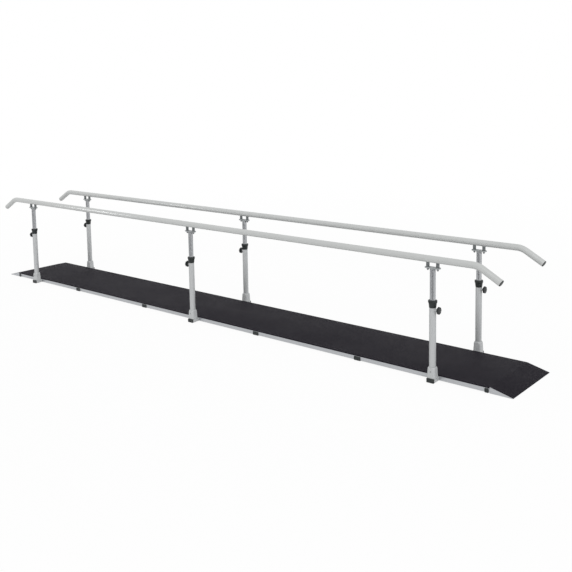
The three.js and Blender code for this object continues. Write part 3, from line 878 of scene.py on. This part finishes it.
def socket_screw(sizes):
    """A low round screw head with a six-sided socket, up from zero."""
    radius, dome, across, deep = sizes.screw / 2, 0.0028, 0.004, 0.0022
    rings = [circle(radius * share, dome * rise, 24)
             for share, rise in ((0.96, 0), (1, 0.25), (0.88, 0.72), (0.66, 1))]
    return skin(rings + [hexagon(across * 1.12, dome), hexagon(across, dome * 0.9),
                         hexagon(across, dome - deep)])


def guide_bush(sizes, height):
    """A flared bush on the top of a fixed tube, with its foot at zero."""
    spigot = sizes.tube_diameter / 2 - sizes.tube_wall - FIT
    bore, foot = sizes.inner_diameter / 2 + FIT, sizes.bush_foot / 2
    waist, flange = sizes.bush_waist / 2, sizes.bush_flange / 2
    neck, inside = height - sizes.flange_height, -0.045
    return turned([
        (bore, inside), (spigot, inside, SOFT), (spigot, FIT),
        (foot, FIT, 0.0016), (waist, neck - 0.004, 0.006), (flange, neck + 0.001, 0.003),
        (flange, height, 0.0034), (bore + 0.0012, height, SMALL), (bore, height - 0.0025, SOFT)],
        5, 72, hollow=True)


def clamp_boss(sizes, stud):
    """A short tube along +Z from the wall of the post."""
    bore, outer = stud / 2 + HOLE_FIT, sizes.boss_diameter / 2
    start, end = sizes.tube_diameter / 2 - sizes.tube_wall / 2, sizes.boss_reach
    return turned([(bore, start), (outer, start), (outer, end, SMALL), (bore, end, FINE)],
                  3, 48, hollow=True)


def weld_bead(radius, swell, around=0):
    """A rippled bead round a joint on +Z, on a flat or on a tube of the radius around."""
    rings = []
    for angle in ring_angles(96):
        size = swell * (1 + 0.12 * cos(16 * angle))
        ring = []
        for a in ring_angles(8):
            point = polar(radius + size * cos(a), angle, 0.8 * size * sin(a))
            point.z += sqrt(around ** 2 - point.y ** 2) if around else 0
            ring.append(point)
        rings.append(ring)
    return skin(rings, hollow=True)


class BARS_OT_fixed_posts(bpy.types.Operator):
    """Six fixed tubes with their boots, screws, clamp bosses and guide bushes"""

    bl_idname = "bars.fixed_posts"
    bl_label = "Fixed posts"

    def execute(self, context):
        sizes, stud = settings_of("posts"), settings_of("clamp").stud
        radius = sizes.tube_diameter / 2
        for post in all_posts():
            name, facing = post.name, ROWS[post.row]
            tube, socket, bush = (f"{kind}_{name}" for kind in
                                  ("outer_post", "post_socket", "guide_bush"))
            (low, high), (floor, shoulder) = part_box(tube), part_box(socket)
            add_piece(f"fixed_tube_{name}", tube_wall(radius, sizes.tube_wall, low.z, high.z),
                      "silver_paint", post.at(0), node=tube)
            add_piece(f"boot_{name}", boot(sizes, (shoulder - floor).z, (low - floor).z - FIT),
                      "silver_paint", post.at(floor.z), node=socket)
            out = shift(0, -facing * (sizes.boot_top / 2 + FINE), sizes.screw_height)
            add_piece(f"boot_screw_{name}", socket_screw(sizes), "zinc",
                      turn(facing * pi / 2, "X"), out, post.at(floor.z), slot="silver_paint")
            add_piece(f"clamp_boss_{name}", clamp_boss(sizes, stud), "silver_paint",
                      *post.to_knob())
            bead = weld_bead(sizes.boss_diameter / 2 + 0.0004, 0.0014, radius)
            add_piece(f"boss_weld_{name}", bead, "silver_paint", *post.to_knob())
            add_piece(f"post_bush_{name}", guide_bush(sizes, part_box(bush)[1].z - high.z),
                      "black_plastic", post.at(high.z), node=bush)
        return {"FINISHED"}


# Clamps

GRIP_SIDES = 96


def knob_ring(sizes, inset, height):
    """A ring of the fluted grip, drawn in by an inset."""
    ring = []
    for angle in ring_angles(GRIP_SIDES):
        flute = sizes.flute * (0.5 - 0.5 * cos(sizes.lobes * angle))
        ring.append(polar(sizes.grip / 2 - flute - inset, angle, height))
    return ring


def clamp_grip(sizes):
    """The fluted grip with its hub, along +Z from the post axis."""
    back, front = sizes.grip_reach, sizes.grip_reach + sizes.thickness
    near, root, cap = sizes.hub / 2, sizes.hub_root / 2, sizes.cap / 2
    hub = rounded([(sizes.stud / 2 + 0.0002, sizes.hub_reach), (near, sizes.hub_reach, SOFT),
                   (root, back, 0.002), (root + 0.004, back)])
    crown = rounded([(cap + 0.003, front), (cap + 0.001, front - 0.0008, SOFT),
                     (cap, front + 0.0009, 0.0012), (cap * 2 / 3, front + 0.0017, 0.004),
                     (0.0005, front + 0.002)])
    return skin([circle(radius, height, GRIP_SIDES) for radius, height in hub]
                + [knob_ring(sizes, *place) for place in soft_side(back, front, sizes.edge, 5)]
                + [circle(radius, height, GRIP_SIDES) for radius, height in crown]
                + [[Vector((0, 0, front + 0.002))]])


def threaded_stud(sizes, tip):
    """A stud with the ridges of its thread, along +Z from its tip to the grip."""
    outer, root, pitch, deep = sizes.stud / 2, sizes.grip_reach, 0.0015, 0.0007
    inner = outer - deep
    profile = [(0, tip), (inner, tip)]
    for k in range(int((root - tip) / pitch)):
        profile += [(radius, tip + (k + share) * pitch)
                    for radius, share in ((inner, 0.15), (outer, 0.5), (inner, 0.85))]
    return turned(profile + [(inner, root), (0, root)], sides=32)


class BARS_OT_clamps(bpy.types.Operator):
    """Six clamp knobs, each on its threaded stud, and the pads they press on"""

    bl_idname = "bars.clamps"
    bl_label = "Clamps"

    def execute(self, context):
        sizes = settings_of("clamp")
        for post in all_posts():
            body, node = f"{post.name}_knob", f"clamp_knob_{post.name}"
            tip = min(abs(corner.x - post.axis.x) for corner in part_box(node))
            add_piece(f"knob_grip_{post.name}", clamp_grip(sizes), "knob_plastic",
                      *post.to_knob(), body=body, node=node)
            add_piece(f"knob_stud_{post.name}", threaded_stud(sizes, tip), "zinc",
                      *post.to_knob(), body=body, slot="yoke_steel")
            refinish(f"pressure_pad_{post.name}", "nylon")
        return {"FINISHED"}


# Walkway


def cross_tube(sizes, width, reach):
    """A rectangular tube across the walkway, without its caps."""
    high = sizes.beam_height / 2
    return moved(prism(rectangle(width / 2, high, sizes.beam_corner, 4), reach),
                 turn(pi / 2, "Z"), shift(0, 0, sizes.sole_height + high))


def end_cap(sizes, width):
    """A cap facing -Y from zero, with its sole reaching back under the tube."""
    half = width / 2 + sizes.cap_proud
    high = (sizes.beam_height + sizes.sole_height) / 2
    thick, rim = sizes.cap_thickness, 0.0022
    side = [(0, 0.0004), (0.0004, 0)]
    side += [(thick - rim + rim * sin(a), rim * (1 - cos(a))) for a in quarter(4)]
    side += [(thick - 0.0001, rim + 0.0016), (thick - 0.0006, rim + 0.0022)]
    rings = []
    for depth, inset in side:
        corner = max(sizes.cap_corner - inset, SMALL)
        rings.append([Vector((x, -depth, high + z))
                      for x, z in rectangle(half - inset, high - inset, corner, 5)])
    back, start, bottom = 0.04, -0.001, 0.0002
    sole = rounded([(start, bottom), (back, bottom, FINE), (back, sizes.sole_height, FINE),
                    (start, sizes.sole_height)])
    return prism(sole, width / 2 - sizes.beam_corner, skin(rings))


def softened(node, edge):
    """A copy of a flat-faced CAD node's mesh with its edges rounded."""
    bm = bmesh.new()
    bm.from_mesh(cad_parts[node].data)
    bmesh.ops.remove_doubles(bm, verts=bm.verts, dist=1e-6)
    bmesh.ops.dissolve_limit(bm, angle_limit=radians(1), verts=bm.verts, edges=bm.edges)
    sharp = [e for e in bm.edges if len(e.link_faces) == 2 and e.calc_face_angle() > radians(30)]
    bmesh.ops.bevel(bm, geom=sharp, offset=edge, segments=2, profile=0.5, affect="EDGES",
                    clamp_overlap=True)
    low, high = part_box(node)
    for vert in bm.verts:
        vert.co = [min(max(at, least), most) for at, least, most in zip(vert.co, low, high)]
    return bm


def mat_ring(x, top, half, thick, lip):
    """A ring of the mat, square to X, with both edges turned down by a lip."""
    under, inner, bend = top - thick, half - thick, 0.0018
    outline = rounded([(-half, under - lip), (-inner, under - lip), (-inner, under),
                       (inner, under), (inner, under - lip), (half, under - lip),
                       (half, top, bend), (-half, top, bend)], 4)
    return [Vector((x, y, z)) for y, z in outline]


def mat_sheet(sizes):
    """One rubber sheet over the deck and both ramps, with soft folds between them."""
    edge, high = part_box("side_rail_near")[1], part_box("walkway_mat")[1]
    thick, fold, inset, run = sizes.mat_thickness, 0.012, 0.0028, high.x - edge.x
    fall = (high.z - sizes.ramp_tip) / run
    lip = high.z - thick - (edge.z + FIT)

    def ring(past, half, lip):
        drop = past if past > fold else (past + fold) ** 2 / (4 * fold)
        return mat_ring(edge.x + past, high.z - fall * drop, half, thick, lip)

    rings = [ring(-fold * (1 - k / 3), high.y, lip) for k in range(4)]
    rings += [ring(past, high.y - inset, 0)
              for past in [fold * k / 3 for k in range(4)] + [run]]
    return skin(mirrored(rings) + rings)


class BARS_OT_cross_tubes(bpy.types.Operator):
    """Nine cross tubes on the floor with a black cap on each end"""

    bl_idname = "bars.cross_tubes"
    bl_label = "Cross tubes"

    def execute(self, context):
        sizes = settings_of("walkway")
        kinds = ("post_beam", "mid_bearer", "end_bearer")
        for node in sorted(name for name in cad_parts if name.startswith(kinds)):
            low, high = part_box(node)
            width = (high - low).x - 2 * sizes.cap_proud
            reach = (high - low).y / 2 - sizes.cap_thickness
            place = shift(*middle_of(node).xy, 0)
            add_piece(f"tube_of_{node}", cross_tube(sizes, width, reach), "silver_paint", place,
                      node=node)
            for row, facing in ROWS.items():
                add_piece(f"cap_of_{node}_{row}", end_cap(sizes, width), "black_plastic",
                          shift(0, -reach, 0), turn(0 if facing > 0 else pi, "Z"), place)
        return {"FINISHED"}


class BARS_OT_walkway(bpy.types.Operator):
    """Deck boards, side rails, ramps and the rubber covering"""

    bl_idname = "bars.walkway"
    bl_label = "Walkway"

    def execute(self, context):
        sizes = settings_of("walkway")
        for piece, kind, ends in (("edge_profile", "side_rail", ROWS),
                                  ("ramp_plate", "ramp", ENDS)):
            for node, end in ((f"{kind}_{end}", end) for end in ends):
                add_piece(f"{piece}_{end}", softened(node, sizes.edge), "anodised", node=node)
        for side in ENDS:
            refinish(f"deck_board_{side}", "plywood")
        add_piece("mat_sheet", mat_sheet(sizes), "mat", node="walkway_mat")
        return {"FINISHED"}


# Stage

FLOOR_REACH, FLOOR_DROP = 60, 0.0005
SENSOR, FAR_CLIP = 36, 200

# Upright panels that only reflections show, which paint reflections in the metal and a highlight on
# the rails: their width, height and centre
PANELS = {
    "near": (11.0, 1.4, (0, -1.7, 0.8)),
    "far": (11.0, 1.4, (0, 1.7, 0.8)),
    "flag": (0.45, 1.4, (3.35, -1.68, 0.8)),
    "strip": (0.75, 0.8, (-3.05, -1.68, 1.2)),
}


def seen(maths):
    """1 for a ray that an eye, a reflection or a see-through surface sends, otherwise 0."""
    camera, gloss, through = (maths.node("ShaderNodeLightPath", output=kind) for kind in
                              ("Is Camera Ray", "Is Glossy Ray", "Is Transmission Ray"))
    return maths.math("MAXIMUM", camera, maths.math("MAXIMUM", gloss, through))


def flat_square(reach, *steps):
    """A bmesh of one level face about the origin, taken over steps."""
    bm = bmesh.new()
    bmesh.ops.create_grid(bm, x_segments=1, y_segments=1, size=reach)
    return moved(bm, *steps)


def floor_finish(shade, near, reach):
    """A floor that takes soft shadow. Its look goes over to plain white away from the object."""
    material = bpy.data.materials.new("floor_white")
    material.use_nodes = True
    material.node_tree.nodes.clear()
    maths = Wire(material.node_tree)
    place = maths.node("ShaderNodeTexCoord", output="Object")
    distance = maths.node("ShaderNodeVectorMath", {"operation": "LENGTH"}, {0: place},
                          output="Value")
    white = maths.node("ShaderNodeMapRange", None, {
        "Value": distance, "From Min": reach, "From Max": 3 * reach, "To Min": near, "To Max": 1})
    diffuse = maths.node("ShaderNodeBsdfDiffuse", None, {"Color": (*shade, 1)})
    glow = maths.node("ShaderNodeEmission", None, {"Color": WHITE, "Strength": 1.0})
    mixed = maths.node("ShaderNodeMixShader", None, {0: white * seen(maths), 1: diffuse, 2: glow})
    maths.node("ShaderNodeOutputMaterial", None, {"Surface": mixed})
    return material


class BARS_OT_stage(bpy.types.Operator):
    """White floor and surroundings, soft light and the camera"""

    bl_idname = "bars.stage"
    bl_label = "Stage"

    def execute(self, context):
        scene, settings = context.scene, settings_of("stage")
        finish = floor_finish(settings.floor, settings.floor_white, CAD_BOX[1][0])
        new_object("floor", flat_square(FLOOR_REACH, shift(0, 0, -FLOOR_DROP)), finish)
        self.make_panels(settings)
        self.make_world(scene, settings)
        self.make_key(scene, settings)
        self.make_camera(scene, settings)
        scene.view_settings.view_transform = "Standard"
        return {"FINISHED"}

    def make_panels(self, settings):
        """Grey screens and a dark flag that only reflections show, as painted reflections in the
        metal, and a glowing strip that only the rails reflect, as a painted highlight on them.
        """
        plain = {"metallic": 0.0, "rough": 0.8, "flake": 0.02, "coat": 0.0}
        grey = painted("screen_grey", settings.screen, **plain)
        dark = painted("flag_grey", settings.flag, **plain)
        # A glowing panel, not a lamp, that paints a highlight on the rails
        strip = Finish("strip_light")
        strip.sockets["Emission Color"].default_value = WHITE
        strip.sockets["Emission Strength"].default_value = settings.strip
        finishes = {"near": grey, "far": grey, "flag": dark, "strip": strip.material}
        for name, (width, height, place) in PANELS.items():
            upright = flat_square(0.5, Matrix.Diagonal((width, height, 1, 1)),
                                  turn(pi / 2, "X"), shift(*place))
            panel = new_object(f"screen_{name}", upright, finishes[name])
            # Seen only in reflections
            panel.visible_camera = panel.visible_diffuse = panel.visible_shadow = False
            panel.visible_transmission = panel.visible_volume_scatter = False
        rails = bpy.data.collections.new("rails")
        for row in ROWS:
            rails.objects.link(bpy.data.objects[f"rail_tube_{row}"])
        bpy.data.objects["screen_strip"].light_linking.receiver_collection = rails

    def make_world(self, scene, settings):
        """Light from all round, which looks white."""
        world = scene.world = bpy.data.worlds.new("studio")
        world.use_nodes = True
        tree, background = world.node_tree, world.node_tree.nodes["Background"].inputs
        background["Color"].default_value = WHITE
        level = settings.sky + (1 - settings.sky) * seen(Wire(tree))
        tree.links.new(level.socket, background["Strength"])

    def make_key(self, scene, settings):
        """A soft key light."""
        lamp = bpy.data.lights.new("key", "SUN")
        lamp.energy, lamp.angle = settings.key, settings.key_spread
        key = bpy.data.objects.new("key", lamp)
        scene.collection.objects.link(key)
        key.rotation_euler = Vector(settings.key_way).to_track_quat("-Z", "Y").to_euler()

    def make_camera(self, scene, settings):
        """The camera, turned by heading, pitch and roll."""
        data = bpy.data.cameras.new("camera")
        data.lens, data.sensor_width = settings.lens, SENSOR
        data.shift_y, data.clip_end = settings.shift, FAR_CLIP
        camera = bpy.data.objects.new("camera", data)
        scene.collection.objects.link(camera)
        camera.matrix_world = (shift(*settings.place) @ turn(settings.heading, "Z")
                               @ turn(pi / 2 - settings.pitch, "X") @ turn(settings.roll, "Z"))
        scene.camera = camera


class BARS_PT_panel(bpy.types.Panel):
    """Lists the pieces of the parallel bars and their settings"""

    bl_idname = "BARS_PT_panel"
    bl_label = "Parallel Bars"
    bl_space_type = "VIEW_3D"
    bl_region_type = "UI"
    bl_category = "Parallel Bars"

    def draw(self, context):
        for operator in OPERATORS:
            self.layout.operator(operator.bl_idname)
        for name, group in GROUPS.items():
            box, settings = self.layout.box(), settings_of(name)
            for key in group.__annotations__:
                box.prop(settings, key)


# The stage comes last, because its glowing strip, which paints a highlight, is linked to the
# handrails
OPERATORS = (BARS_OT_walkway, BARS_OT_cross_tubes, BARS_OT_fixed_posts, BARS_OT_clamps,
             BARS_OT_sliding_tubes, BARS_OT_yokes, BARS_OT_handrails, BARS_OT_stage)
CLASSES = (*GROUPS.values(), BarsSettings, *OPERATORS, BARS_PT_panel)


def register():
    """Registers the settings, the operators and the panel."""
    for item in CLASSES:
        bpy.utils.register_class(item)
    bpy.types.Scene.walking_bars = PointerProperty(type=BarsSettings)


def unregister():
    """Takes them out again, the last one first."""
    del bpy.types.Scene.walking_bars
    for item in reversed(CLASSES):
        bpy.utils.unregister_class(item)


def main():
    """Makes every piece and the stage."""
    register()
    bpy.ops.bars.walkway()
    bpy.ops.bars.cross_tubes()
    bpy.ops.bars.fixed_posts()
    bpy.ops.bars.clamps()
    bpy.ops.bars.sliding_tubes()
    bpy.ops.bars.yokes()
    bpy.ops.bars.handrails()
    bpy.ops.bars.stage()


if __name__ == "__main__":
    main()
